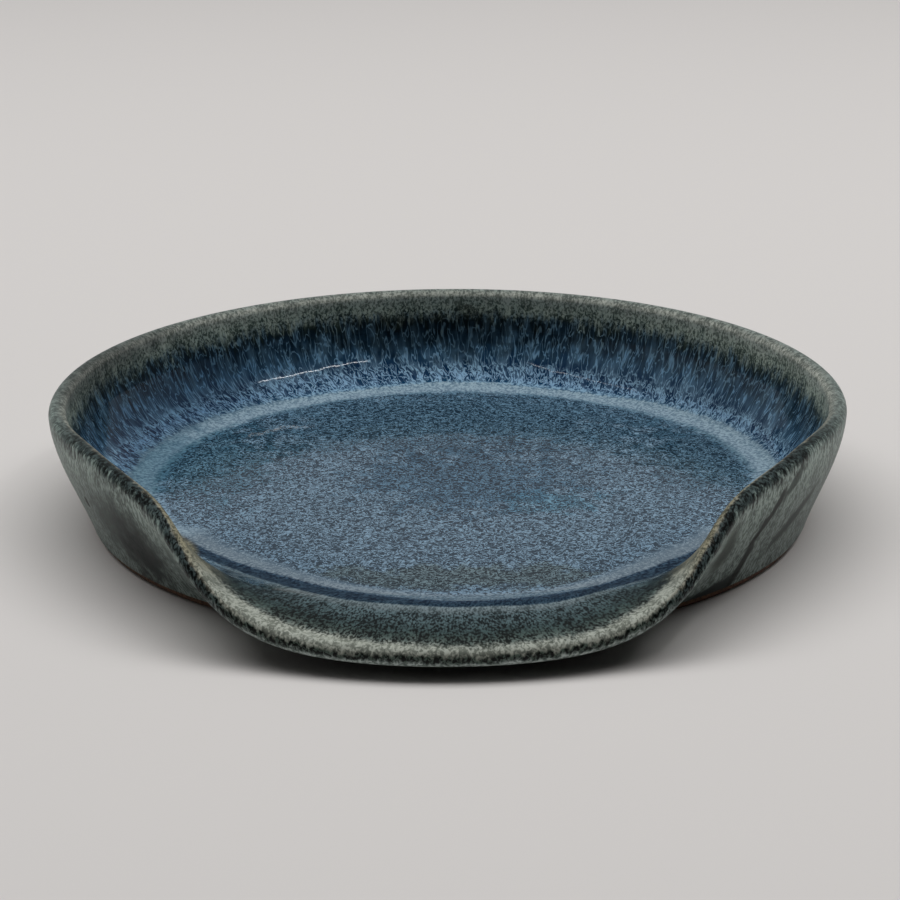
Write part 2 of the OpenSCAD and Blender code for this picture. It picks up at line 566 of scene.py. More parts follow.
@dataclass(frozen=True)
class Weave:
    """How crystals lie on the glass.

    across and along are their spacing across the run of the glaze and along it, in millimetres, and
    curl is how much they wind. threads is how wide they fade as threads, and 0 makes them flecks.
    """

    across: float
    along: float
    curl: float
    threads: float = 0.0

    def hidden(self, cover: float) -> float:
        """The share of the glass that the crystals hide, averaged over their pattern.

        Args:
            cover: How far the crystals are raised over the glass.

        Returns:
            A share from 0 to 1.
        """
        even = (np.arange(400) + 0.5) / 400
        if self.threads:
            even = np.clip(1 - NOISE_REACH * even / self.threads, 0, 1)
        return float(np.clip((even + cover - COVER_LOW) / (COVER_HIGH - COVER_LOW), 0, 1).mean())

    def draw(self, tree: Tree, place: Socket) -> Socket:
        """Draws the crystals.

        Args:
            tree: The node tree.
            place: The place in the glaze's flow or in the dish's frame.

        Returns:
            A value from 0 to 1, each part of it about as common as any other, higher on a crystal.
        """
        spacing = (per_mm(self.across), per_mm(self.across), per_mm(self.along))
        stretched = add_node(tree, "ShaderNodeVectorMath", {0: place, 1: spacing}, operation="MULTIPLY")
        noise = add_node(
            tree, "ShaderNodeTexNoise",
            {"Vector": stretched.outputs[0], "Scale": 1.0, "Detail": 1.5, "Roughness": 0.55,
             "Distortion": self.curl},
        ).outputs[0]
        if not self.threads:
            return add_node(
                tree, "ShaderNodeMapRange", {0: noise, 1: 0.5 - FLECK_REACH, 2: 0.5 + FLECK_REACH}
            ).outputs[0]
        off = add_node(tree, "ShaderNodeMath", {0: noise, 1: 0.5}, operation="SUBTRACT").outputs[0]
        off = add_node(tree, "ShaderNodeMath", {0: off}, operation="ABSOLUTE").outputs[0]
        return add_node(
            tree, "ShaderNodeMapRange", {0: off, 1: 0.0, 2: self.threads, 3: 1.0, 4: 0.0}
        ).outputs[0]


# Crystals much finer than a third of a millimetre wouldn't show, so the finest are drawn that far
# apart
SPECKLE = Weave(0.42, 0.6, 0.6)
HAIRS = Weave(0.95, 3.6, 0.6, threads=0.045)
CURLS = Weave(0.85, 1.6, 0.9, threads=0.08)
GRAIN = Weave(0.6, 0.6, 0.4)
MOTTLE = Weave(0.45, 1.0, 0.5)
DOTS = Weave(0.33, 0.8, 0.3)
NET = Weave(0.85, 0.95, 0.9, threads=0.07)
# The tatters of the bands' edges, and wide waves in them
TORN = Weave(0.8, 3.0, 0.3)
WIDE = Weave(5.0, 5.0, 0.6)


class Trait(Enum):
    """What is read from the zones along the run."""

    GLASS = "glass"
    CRYSTAL = "crystal"
    COVER = "cover"
    RAGGED = "ragged"


@dataclass(frozen=True)
class Zone:
    """One band of the glazes, by its distance from the rim's crest.

    at is in millimetres, more than 0 inside and less outside. glass is the dark glass, and tone is
    the colour that glass and crystals have together from afar. ragged is how far the band's edge
    wanders up and down, in millimetres, cover is how far the crystals are raised, and weave is how
    they lie.
    """

    at: float
    glass: str
    tone: str
    ragged: float
    cover: float = 0.5
    weave: Weave = SPECKLE

    @property
    def crystal(self) -> tuple[float, ...]:
        """The pale crystals that float on the glass, worked out from the tone and the glass.

        Returns:
            Their linear colour.
        """
        share = self.weave.hidden(self.cover)
        pairs = zip(linear(self.tone), linear(self.glass))
        return tuple((tone - (1 - share) * glass) / share for tone, glass in pairs)

    def shown(self, trait: Trait) -> tuple[float, ...]:
        """A trait as a stop of a colour ramp.

        Args:
            trait: The trait that is wanted.

        Returns:
            Its linear colour, or its value as a grey.
        """
        if trait is Trait.GLASS:
            return linear(self.glass)
        if trait is Trait.CRYSTAL:
            return self.crystal
        value = self.cover if trait is Trait.COVER else self.ragged
        return (value, value, value, 1.0)


# From the foot outside over the crest and down the wall to the floor inside
STANDING = (
    Zone(-21.0, "#46504d", "#707c78", 3.0),
    Zone(-12.0, "#465350", "#6b7874", 4.0),
    Zone(-4.0, "#5e6c66", "#82918b", 3.0),
    Zone(-1.6, "#4e5a56", "#74817c", 1.5),
    Zone(0.0, "#464e4b", "#68716d", 0.8),
    Zone(1.0, "#545b56", "#767c76", 0.6),
    # The pale band just inside the crest is partly glaze broken thin over the edge and partly a painted
    # highlight on the edge
    Zone(1.8, "#7a7f77", "#a0a49b", 0.8),
    Zone(3.0, "#666f65", "#98a095", 1.4),
    Zone(4.5, "#46524b", "#848f84", 2.2),
    Zone(5.8, "#2a3632", "#6c7874", 2.8),
    Zone(7.2, "#122026", "#4e626a", 3.0, 0.40),
    Zone(9.0, "#122634", "#40596a", 3.5, 0.62, CURLS),
    Zone(11.0, "#1b3244", "#395264", 4.0, 0.64, HAIRS),
    Zone(13.0, "#243e52", "#43627a", 4.0, 0.64, HAIRS),
    Zone(15.0, "#1a3852", "#4e6b82", 3.0, 0.62, CURLS),
    Zone(17.2, "#0a2a48", "#5a778e", 1.8, 0.62, CURLS),
    Zone(19.0, "#082c4b", "#56748f", 1.2, 0.62, CURLS),
    Zone(20.6, "#123a56", "#58758b", 0.9, 0.62, CURLS),
    Zone(21.2, "#5e7788", "#7a919f", 0.7),
    Zone(23.6, "#6a8090", "#8096a4", 0.6),
    Zone(25.8, "#586f81", "#768c9b", 0.9),
    Zone(27.1, "#0c2232", "#526879", 1.0, 0.62, NET),
    Zone(34.0, "#0c2232", "#526879", 0.5, 0.62, NET),
)
# Beside the lip, where the glaze ran off the crest and left a black edge with feathered drips
SHOULDER = (
    Zone(-21.0, "#424c49", "#6e7a76", 3.0),
    Zone(-12.0, "#465350", "#6e7a76", 4.0),
    Zone(-6.0, "#54625c", "#7b8983", 3.0),
    Zone(-3.4, "#5c6a64", "#8a9892", 2.6),
    Zone(-2.0, "#161f1d", "#5c6864", 3.0, 0.46),
    Zone(-1.0, "#030606", "#283131", 2.2, 0.38),
    Zone(0.4, "#030505", "#283030", 0.8, 0.38),
    # The paler line just inside the crest is partly toasted glaze broken thin over the edge and partly a
    # painted highlight on the edge
    Zone(0.9, "#424037", "#706e63", 0.4),
    Zone(2.0, "#4e5046", "#7a7b70", 0.6),
) + tuple(zone for zone in STANDING if zone.at > 2)
# Across the pressed lip
PRESSED = (
    # Under the lip the glaze is drawn near black as painted shade, which deepens the shadow on the floor
    # beneath it
    Zone(-21.0, "#060909", "#161c1a", 1.0, 0.40),
    Zone(-3.0, "#0e1413", "#2c3432", 1.0, 0.40),
    Zone(-2.0, "#4e5855", "#808b87", 0.7),
    Zone(-0.9, "#66726d", "#98a39f", 0.5),
    Zone(-0.4, "#040908", "#36403b", 1.0, 0.40),
    Zone(0.2, "#040907", "#353f39", 1.0, 0.40),
    # The pale cream band inside the lip's crest is partly the glaze's own pale speckle and partly a painted
    # highlight of the overhead light
    Zone(0.7, "#5e635c", "#84887f", 0.6),
    Zone(1.5, "#70756c", "#90958c", 0.8),
    Zone(2.4, "#323833", "#6a6f69", 1.1, 0.45),
    Zone(3.6, "#0b1211", "#3c4542", 1.3, 0.40),
    Zone(5.5, "#050c0c", "#293432", 1.4, 0.40),
    Zone(8.0, "#050d0e", "#263334", 1.5, 0.40),
    Zone(11.0, "#0a1417", "#324043", 1.5, 0.40),
    Zone(14.0, "#0f1a1d", "#38464a", 1.2, 0.40),
    # The pale line along the hinge's crest is partly the glaze's colour and partly a painted highlight on the
    # crest
    Zone(15.8, "#364245", "#546064", 0.6),
    Zone(17.3, "#465358", "#627075", 0.4),
    Zone(17.9, "#0e2030", "#243644", 0.3, 0.40),
    Zone(19.1, "#081828", "#1c2d3c", 0.3, 0.40),
    Zone(20.4, "#0c1e32", "#26394b", 0.3, 0.40),
    Zone(21.0, "#4a5d6c", "#627380", 0.4),
    Zone(23.0, "#5a6c7a", "#6d7e8a", 0.5),
    Zone(24.5, "#445a6b", "#667a89", 0.8),
    Zone(25.9, "#0c2232", "#4c6375", 1.0, 0.62, NET),
    Zone(34.0, "#0c2232", "#526879", 0.5, 0.62, NET),
)


@dataclass(frozen=True)
class Cloud:
    """A stain in the glaze: a soft patch that darkens or warms it.

    place, reach and turn give an ellipsoid, in millimetres and degrees. On the wall it lies in the
    glaze's flow, and elsewhere in the dish's own frame. fray is how ragged its edge is and fade is
    how wide, both as shares of its reach.
    """

    place: tuple[float, float, float]
    reach: tuple[float, float, float]
    tint: str
    turn: tuple[float, float, float] = (0.0, 0.0, 0.0)
    on_wall: bool = False
    fray: float = 2.5
    fade: float = 0.7

    @property
    def edge(self) -> float:
        """Middle of the edge, as a share of the reach, with the half of the fray that noise adds."""
        return 0.9 + self.fray / 2


def wall_place(angle: float, run: float) -> tuple[float, float, float]:
    """Finds a place on the wall in the glaze's flow.

    Args:
        angle: The angle round the dish.
        run: The distance from the crest.

    Returns:
        The place in the flow, in millimetres.
    """
    flow_r = DishSizes().flow_r
    around = math.radians(angle)
    return (flow_r * math.sin(around), -flow_r * math.cos(around), run)


CLOUDS = (
    # Thinner, bluer glass in the middle of the floor and in a small pool. The darker floor at its back is
    # partly bluer glass and partly a painted reflection of the dark back wall
    Cloud((3.0, 0.0, 4.2), (21.0, 18.0, 9.0), "#c0d4dd"),
    Cloud((1.3, 36.0, 4.2), (58.0, 24.0, 9.0), "#c8d8de"),
    Cloud((18.0, -12.0, 4.2), (9.0, 6.0, 9.0), "#e0fcff"),
    # The back corners of the floor: partly bluer glass and partly a painted reflection of the dark back wall
    Cloud((-46.0, 13.0, 4.2), (15.0, 24.0, 9.0), "#c2d8dc"),
    Cloud((48.0, 15.0, 4.2), (14.0, 22.0, 9.0), "#c6d4d8"),
    # The greyer edge of the floor in front
    Cloud((1.0, -47.5, 4.2), (34.0, 5.5, 9.0), "#dcd6c8"),
    # Blacker glass high on the wall behind, and deeper blue on the left
    Cloud(wall_place(182.0, 9.8), (24.0, 20.0, 4.5), "#b4b4b2", on_wall=True),
    Cloud(wall_place(-122.0, 13.0), (30.0, 36.0, 9.0), "#bccad4", on_wall=True, fray=0.9, fade=1.0),
    Cloud(wall_place(-98.0, 23.0), (22.0, 24.0, 5.0), "#c0d4dc", on_wall=True, fray=0.9, fade=1.0),
    # Darker, thinner glaze over the crest on the left
    Cloud(wall_place(-106.0, 2.5), (27.0, 27.0, 4.2), "#aeaeb0", on_wall=True, fray=0.9, fade=1.0),
    # Charcoal where the glaze is thin, low on the left outside, with its two pinholes
    Cloud(wall_place(-52.0, -12.5), (11.0, 11.0, 8.5), "#9ea2a2", on_wall=True, fray=1.2, fade=1.0),
    Cloud(wall_place(-48.5, -15.0), (7.0, 7.0, 6.5), "#868a8c", on_wall=True, fray=1.6, fade=0.9),
    Cloud(wall_place(-64.0, -12.0), (0.9, 0.9, 0.9), "#303030", on_wall=True),
    Cloud(wall_place(-84.0, -4.0), (0.7, 0.7, 0.9), "#303030", on_wall=True),
    # A dark run that crosses the right outside on a slant and turns down, and a fainter one behind it
    Cloud(
        wall_place(54.5, -4.4), (6.0, 2.4, 1.0), "#7e8684", turn=(0.0, -30.0, 54.5),
        on_wall=True, fray=1.8, fade=0.9,
    ),
    Cloud(
        wall_place(48.6, -8.6), (5.8, 2.2, 0.9), "#4c5452", turn=(0.0, -53.0, 48.6),
        on_wall=True, fray=2.2, fade=0.8,
    ),
    Cloud(
        wall_place(46.0, -16.0), (6.8, 2.4, 1.1), "#3c4342", turn=(0.0, -82.0, 46.0),
        on_wall=True, fray=2.2, fade=0.8,
    ),
    Cloud(
        wall_place(58.0, -14.0), (9.0, 3.0, 1.5), "#7e8484", turn=(0.0, -27.0, 58.0),
        on_wall=True, fray=1.4, fade=0.9,
    ),
    # Darker patches beside the shoulder on the right, and in the hollow above the foot
    Cloud(wall_place(38.4, -9.0), (2.2, 4.0, 5.5), "#8a8e88", on_wall=True, fray=0.9, fade=1.0),
    Cloud(wall_place(42.0, -20.6), (7.0, 6.0, 2.2), "#5c6262", on_wall=True, fray=1.6),
)


# Where each weave takes over from the one before it, in millimetres from the crest
WALL_WEAVES = ((4.5, 8.0, HAIRS), (15.0, 17.0, CURLS), (-0.6, -2.4, MOTTLE))
LIP_WEAVES = ((1.6, 4.0, DOTS),)
FLOOR_WEAVES = ((20.4, 21.2, GRAIN), (25.8, 27.0, NET))
# The glaze ran in strands in which crystals lie thicker or thinner: how far apart these are and how
# long, in millimetres, and by how much they raise or lower the pattern
RUNS_APART = 2.2
RUNS_LONG = 6.0
RUNS_STRENGTH = 0.7

# Slants at which bands lie askew, since the dish was dipped by hand: two places in the flow and the
# run that is added at each, in millimetres
RING_SLANT = (52.0, 30.0, 0.0, 0.9)
LEFT_SLANT = (-42.0, 0.0, -5.0, 0.0)
RIGHT_SLANT = (16.0, 42.0, 0.0, -5.8)
# The run from which the ring's slant holds, and the share of the press from which the lip's do
RING_SLANTS_FROM = (14.0, 19.0)
LIP_SLANTS_FROM = (0.0004, 0.004)
# Bands nearer to the crest than this run aren't moved
CREST_HELD = 1.5

# The upper and lower edge of the navy fold between the lip and the floor, in the run, and the share
# of the press from which its glass is dull
FOLD_TOP = (17.4, 17.8)
FOLD_END = (20.9, 20.5)
FOLD_DULLED = (0.001, 0.02)
# The fold is wider to either side than in the middle, so the run is moved apart round its middle by
# up to this much, within these soft limits down the run and aside in the flow
FOLD_MIDDLE = (18.2, 20.2)
FOLD_WIDENS = 1.0
FOLD_WIDENS_DOWN = ((13.0, 17.0), (26.5, 22.5))
FOLD_WIDENS_ASIDE = ((4.0, 19.0), (44.0, 30.0))

# The depth in the flow from which the zones beside the lip hold
SHOULDERS_FROM = (-6.0, -32.0)
# The share of wide waves in the bands' torn edges
WIDE_SHARE = 0.4
# Shares of the press from which the lip's zones hold: at the crest, and then from runs further down
PRESSED_FROM = ((0.6, 0.95), ((0.7, 1.3), (0.01, 0.2)), ((15.0, 19.0), (0.001, 0.007)))
# The run from which the floor starts
FLOOR_FROM = (24.6, 26.2)

# The tan band on a shoulder: its upper and lower end, each as two places aside and the run at each,
# how far its upper edge is torn, and by how much its press must fall with each millimetre down
TAN_UPPER = (40.5, 57.0, -3.0, 20.5)
TAN_LOWER = (43.0, 53.0, 19.4, 25.0)
TAN_TORN = 1.5
TAN_NARROWS = 1.14
# The shares of the press between which it lies, and the limit of the press with its fall
TAN_FROM_PRESS = (0.0003, 0.003)
TAN_TO_PRESS = (0.72, 0.4)
TAN_SPREAD = (2.8, 0.9)
# The run from which it starts at the crest, and how soft it is at its upper and its lower end
TAN_FROM_CREST = (0.5, 1.1)
TAN_UPPER_EDGE = (-2.0, 1.5)
TAN_LOWER_EDGE = (0.5, -1.4)
# The dark and the pale of its glaze
TAN_GLASS = "#4b4b3d"
TAN_CRYSTAL = "#8f8b76"
# The run over which it darkens, and the share of its crystals that is left
TAN_DARKENS = (15.0, 21.0)
TAN_SHADE = 0.62

# Size of the tatters at a cloud's edge, in millimetres
FRAY_SIZE = 3.0
# The glaze's soft waves: their size and height in millimetres
WAVE_SIZE = 3.0
WAVE_HEIGHT = 0.04
# The floor's thrown hollow: its middle, how far from it the floor starts and stops rising, and its
# depth in millimetres
HOLLOW_MIDDLE = (DishSizes().floor_shift * MM, 0.0, 0.0)
HOLLOW_FROM = 8 * MM
HOLLOW_TO = 46 * MM
HOLLOW_DEPTH = 0.7


@dataclass(frozen=True)
class Surface:
    """What a glaze's nodes read at each place on the dish.

    flow is the place in the glaze's flow and spot is the place in the dish's frame, in metres.
    across and forward are the flow's place to the right and to the back, and aside is how far it
    lies to either side. run is the distance from the rim's crest in millimetres, and lip is the
    share by which the wall is pressed.
    """

    tree: Tree
    flow: Socket
    spot: Socket
    across: Socket
    forward: Socket
    aside: Socket
    run: Socket
    lip: Socket

    @classmethod
    def read(cls, tree: Tree) -> "Surface":
        """Reads the places that the dish's pieces carry.

        Args:
            tree: The glaze's node tree.

        Returns:
            The sockets that give each place.
        """
        flow = add_node(tree, "ShaderNodeAttribute", attribute_name=FLOW).outputs["Vector"]
        lip = add_node(tree, "ShaderNodeAttribute", attribute_name=LIP).outputs["Fac"]
        spot = add_node(tree, "ShaderNodeTexCoord").outputs["Object"]
        parts = add_node(tree, "ShaderNodeSeparateXYZ", {0: flow}).outputs
        aside = add_node(tree, "ShaderNodeMath", {0: parts["X"]}, operation="ABSOLUTE").outputs[0]
        run = add_node(tree, "ShaderNodeMath", {0: parts["Z"], 1: 1 / MM}, operation="MULTIPLY")
        return cls(tree, flow, spot, parts["X"], parts["Y"], aside, run.outputs[0], lip)

    def within(self, *limits: tuple[Socket, float, float]) -> Socket:
        """The share to which each place lies inside soft limits.

        Args:
            *limits: For each limit, a value that is read, where it starts to let in and where it
                lets in all.

        Returns:
            A share from 0 outside any of the limits to 1 inside them all.
        """
        inside, *others = (
            add_node(
                self.tree, "ShaderNodeMapRange", {0: value, 1: start, 2: end},
                interpolation_type="SMOOTHSTEP",
            ).outputs[0]
            for value, start, end in limits
        )
        for step in others:
            inside = add_node(
                self.tree, "ShaderNodeMath", {0: inside, 1: step}, operation="MULTIPLY"
            ).outputs[0]
        return inside

    def turning(self, value: Any, *changes: tuple[Any, Any]) -> Socket:
        """A value that turns into others, one after another.

        Args:
            value: The value to start from.
            *changes: For each change, the share to which it has happened and the value after it.

        Returns:
            The value after all the changes.
        """
        for share, following in changes:
            value = add_node(
                self.tree, "ShaderNodeMix", {0: share, 2: value, 3: following}, data_type="FLOAT"
            ).outputs[0]
        return value


@dataclass(frozen=True)
class FlowingGlaze:
    """A reactive stoneware glaze, fired until it runs.

    Dark glass pools in the hollows and pale crystals float on it: as speckle on the rim, as hairs
    where it ran down the wall, as curls where it slowed above the ring, and as a net on the floor.
    """

    name: str
    slot: str
    glass_roughness: float
    crystal_roughness: float
    specular: float
    fold_roughness: float = 0.7
    ior: float = 1.52
    low: float = -22.0
    high: float = 36.0

    def make(self) -> bpy.types.Material:
        """Makes the material.

        Returns:
            The glaze, ready to be assigned.
        """
        material = start_material(self.name)
        tree = material.node_tree
        at = Surface.read(tree)
        dipped = self.dipped(at)
        colour, share = self.colour(at, dipped)
        colour = self.clouded(at, self.toasted(at, colour, share), dipped)
        rough = add_node(
            tree, "ShaderNodeMapRange", {0: share, 3: self.glass_roughness, 4: self.crystal_roughness}
        ).outputs[0]
        fold = at.within((dipped, *FOLD_TOP), (dipped, *FOLD_END), (at.lip, *FOLD_DULLED))
        rough = at.turning(rough, (fold, self.fold_roughness))
        shader = add_node(
            tree, "ShaderNodeBsdfPrincipled",
            {"Base Color": colour, "Roughness": rough, "IOR": self.ior,
             "Specular IOR Level": self.specular, "Normal": self.relief(at)},
        )
        add_node(tree, "ShaderNodeOutputMaterial", {"Surface": shader.outputs[0]})
        return material

    @staticmethod
    def relief(at: Surface) -> Socket:
        """The glaze's soft waves, and the floor's faint thrown hollow, which is drawn by its slope.

        Args:
            at: What is read at each place.

        Returns:
            The normal.
        """
        tree = at.tree
        flat = add_node(tree, "ShaderNodeVectorMath", {0: at.spot, 1: (1.0, 1.0, 0.0)}, operation="MULTIPLY")
        out = add_node(
            tree, "ShaderNodeVectorMath", {0: flat.outputs[0], 1: HOLLOW_MIDDLE}, operation="DISTANCE"
        ).outputs["Value"]
        hollow = add_node(
            tree, "ShaderNodeMapRange", {0: out, 1: HOLLOW_FROM, 2: HOLLOW_TO, 3: 0.0, 4: HOLLOW_DEPTH},
            interpolation_type="SMOOTHSTEP",
        ).outputs[0]
        waves = add_node(
            tree, "ShaderNodeTexNoise", {"Vector": at.spot, "Scale": per_mm(WAVE_SIZE), "Detail": 1.0}
        ).outputs[0]
        height = add_node(
            tree, "ShaderNodeMath", {0: waves, 1: WAVE_HEIGHT, 2: hollow}, operation="MULTIPLY_ADD"
        ).outputs[0]
        return add_node(
            tree, "ShaderNodeBump", {"Strength": 1.0, "Distance": MM, "Height": height}
        ).outputs[0]

    @staticmethod
    def pattern(at: Surface) -> Socket:
        """The crystals' pattern, which changes on the way down from the crest on either side.

        Args:
            at: What is read at each place.

        Returns:
            A value that is higher on a crystal.
        """
        tree = at.tree

        def woven(first: Any, weaves: tuple[tuple[float, float, Weave], ...]) -> Socket:
            """Lets each weave take over where it starts.

            Args:
                first: The pattern to start from.
                weaves: The run from which each weave holds, and the weave.

            Returns:
                The pattern after the last weave.
            """
            # The net lies flat on the floor, so it is drawn in the dish's frame
            changes = (
                (at.within((at.run, start, end)), weave.draw(tree, at.spot if weave is NET else at.flow))
                for start, end, weave in weaves
            )
            return at.turning(first, *changes)

        speckle = SPECKLE.draw(tree, at.flow)
        pattern = at.turning(woven(speckle, WALL_WEAVES), (at.lip, woven(speckle, LIP_WEAVES)))
        spacing = (per_mm(RUNS_APART), per_mm(RUNS_APART), per_mm(RUNS_LONG))
        runs = add_node(tree, "ShaderNodeVectorMath", {0: at.flow, 1: spacing}, operation="MULTIPLY")
        runs = add_node(
            tree, "ShaderNodeTexNoise", {"Vector": runs.outputs[0], "Scale": 1.0, "Detail": 2.0}
        ).outputs[0]
        drift = add_node(
            tree, "ShaderNodeMapRange", {0: runs, 3: -RUNS_STRENGTH, 4: RUNS_STRENGTH}
        ).outputs[0]
        pattern = add_node(tree, "ShaderNodeMath", {0: pattern, 1: drift}, operation="ADD").outputs[0]
        return woven(pattern, FLOOR_WEAVES)

    @staticmethod
    def dipped(at: Surface) -> Socket:
        """The run, shifted as the bands lie askew: the ring's by its tilt and the lip's by theirs.

        Args:
            at: What is read at each place.

        Returns:
            The shifted run.
        """
        tree = at.tree
        ring, left, right = (
            add_node(
                tree, "ShaderNodeMapRange", {0: place, 1: start * MM, 2: end * MM, 3: low, 4: high}
            ).outputs[0]
            for place, (start, end, low, high) in (
                (at.forward, RING_SLANT), (at.across, LEFT_SLANT), (at.across, RIGHT_SLANT)
            )
        )
        stands = add_node(tree, "ShaderNodeMath", {0: 1.0, 1: at.lip}, operation="SUBTRACT").outputs[0]
        ring = add_node(tree, "ShaderNodeMath", {0: ring, 1: stands}, operation="MULTIPLY").outputs[0]
        lip = add_node(tree, "ShaderNodeMath", {0: left, 1: right}, operation="ADD").outputs[0]
        shifted = at.run
        for amount, share in (
            (ring, at.within((at.run, *RING_SLANTS_FROM))), (lip, at.within((at.lip, *LIP_SLANTS_FROM)))
        ):
            shifted = add_node(
                tree, "ShaderNodeMath", {0: amount, 1: share, 2: shifted}, operation="MULTIPLY_ADD"
            ).outputs[0]
        crest = add_node(tree, "ShaderNodeMath", {0: at.run, 1: CREST_HELD}, operation="MINIMUM")
        shifted = add_node(
            tree, "ShaderNodeMath", {0: shifted, 1: crest.outputs[0]}, operation="MAXIMUM"
        ).outputs[0]
        start, end = FOLD_MIDDLE
        apart = add_node(
            tree, "ShaderNodeMapRange", {0: shifted, 1: start, 2: end, 3: FOLD_WIDENS, 4: -FOLD_WIDENS},
            interpolation_type="SMOOTHSTEP",
        ).outputs[0]
        near = at.within(
            *((shifted, start, end) for start, end in FOLD_WIDENS_DOWN),
            *((at.aside, start * MM, end * MM) for start, end in FOLD_WIDENS_ASIDE),
        )
        return add_node(
            tree, "ShaderNodeMath", {0: apart, 1: near, 2: shifted}, operation="MULTIPLY_ADD"
        ).outputs[0]

    def along(self, tree: Tree, run: Socket, zones: tuple[Zone, ...], trait: Trait) -> Socket:
        """One of the zones' traits along the run.

        Args:
            tree: The node tree.
            run: The distance from the crest, in millimetres.
            zones: The bands.
            trait: The trait that is wanted.

        Returns:
            The colour or value at each place.
        """
        place = add_node(tree, "ShaderNodeMapRange", {0: run, 1: self.low, 2: self.high})
        node = add_node(tree, "ShaderNodeValToRGB", {0: place.outputs[0]})
        while len(node.color_ramp.elements) < len(zones):
            node.color_ramp.elements.new(1.0)
        for stop, zone in zip(node.color_ramp.elements, zones):
            stop.position = (zone.at - self.low) / (self.high - self.low)
            stop.color = zone.shown(trait)
        return node.outputs[0]

    def colour(self, at: Surface, dipped: Socket) -> tuple[Socket, Socket]:
        """Mixes the glass and the crystals, zone by zone.

        Args:
            at: What is read at each place.
            dipped: The shifted run.

        Returns:
            The colour, and the share that the crystals hide.
        """
        tree = at.tree
        beside = at.within((at.forward, *(v * MM for v in SHOULDERS_FROM)))
        torn = at.turning(TORN.draw(tree, at.flow), (WIDE_SHARE, WIDE.draw(tree, at.flow)))
        wander = add_node(tree, "ShaderNodeMapRange", {0: torn, 3: -0.5, 4: 0.5}).outputs[0]
        crest, *further = PRESSED_FROM
        pressed = at.turning(
            at.within((at.lip, *crest)),
            *((at.within((dipped, *runs)), at.within((at.lip, *shares))) for runs, shares in further),
        )

        def shown(trait: Trait, run: Socket) -> Socket:
            """Reads a trait from the three sets of zones.

            Args:
                trait: The trait that is wanted.
                run: The distance from the crest, in millimetres.

            Returns:
                The colour or value at each place.
            """
            back, side, front = (
                self.along(tree, run, zones, trait) for zones in (STANDING, SHOULDER, PRESSED)
            )
            wall = add_node(tree, "ShaderNodeMix", {0: beside, 6: back, 7: side}, data_type="RGBA")
            return add_node(
                tree, "ShaderNodeMix", {0: pressed, 6: wall.outputs[2], 7: front}, data_type="RGBA"
            ).outputs[2]

        run = add_node(
            tree, "ShaderNodeMath", {0: wander, 1: shown(Trait.RAGGED, dipped), 2: dipped},
            operation="MULTIPLY_ADD",
        ).outputs[0]
        glass, crystal, cover = (shown(trait, run) for trait in (Trait.GLASS, Trait.CRYSTAL, Trait.COVER))
        raised = add_node(tree, "ShaderNodeMath", {0: self.pattern(at), 1: cover}, operation="ADD").outputs[0]
        share = add_node(tree, "ShaderNodeMapRange", {0: raised, 1: COVER_LOW, 2: COVER_HIGH}).outputs[0]
        colour = add_node(
            tree, "ShaderNodeMix", {0: share, 6: glass, 7: crystal}, data_type="RGBA"
        ).outputs[2]
        return colour, share

    @staticmethod
    def toasted(at: Surface, colour: Socket, share: Socket) -> Socket:
        """Lets the toasted clay show through where the glaze is thin, along the shoulders' folds.

        Args:
            at: What is read at each place.
            colour: The glaze's colour.
            share: The share that the crystals hide.

        Returns:
            The colour, with a tan band that runs down each fold on a slant and is torn above.
        """
        tree = at.tree
        deeper = add_node(tree, "ShaderNodeMath", {0: TAN_NARROWS, 1: at.run}, operation="POWER").outputs[0]
        spread = add_node(tree, "ShaderNodeMath", {0: at.lip, 1: deeper}, operation="MULTIPLY").outputs[0]
        upper, lower = (
            add_node(
                tree, "ShaderNodeMapRange", {0: at.aside, 1: start * MM, 2: end * MM, 3: near, 4: far},
                interpolation_type="SMOOTHSTEP",
            ).outputs[0]
            for start, end, near, far in (TAN_UPPER, TAN_LOWER)
        )
        torn = add_node(
            tree, "ShaderNodeMapRange", {0: TORN.draw(tree, at.flow), 3: -TAN_TORN, 4: TAN_TORN}
        ).outputs[0]
        under = add_node(tree, "ShaderNodeMath", {0: at.run, 1: upper}, operation="SUBTRACT").outputs[0]
        under = add_node(tree, "ShaderNodeMath", {0: under, 1: torn}, operation="ADD").outputs[0]
        over = add_node(tree, "ShaderNodeMath", {0: at.run, 1: lower}, operation="SUBTRACT").outputs[0]
        amount = at.within(
            (at.lip, *TAN_FROM_PRESS), (at.lip, *TAN_TO_PRESS), (spread, *TAN_SPREAD),
            (at.run, *TAN_FROM_CREST), (under, *TAN_UPPER_EDGE), (over, *TAN_LOWER_EDGE),
        )
        shade = at.turning(1.0, (at.within((at.run, *TAN_DARKENS)), TAN_SHADE))
        share = add_node(tree, "ShaderNodeMath", {0: share, 1: shade}, operation="MULTIPLY").outputs[0]
        tan = add_node(
            tree, "ShaderNodeMix", {0: share, 6: linear(TAN_GLASS), 7: linear(TAN_CRYSTAL)}, data_type="RGBA"
        ).outputs[2]
        return add_node(tree, "ShaderNodeMix", {0: amount, 6: colour, 7: tan}, data_type="RGBA").outputs[2]

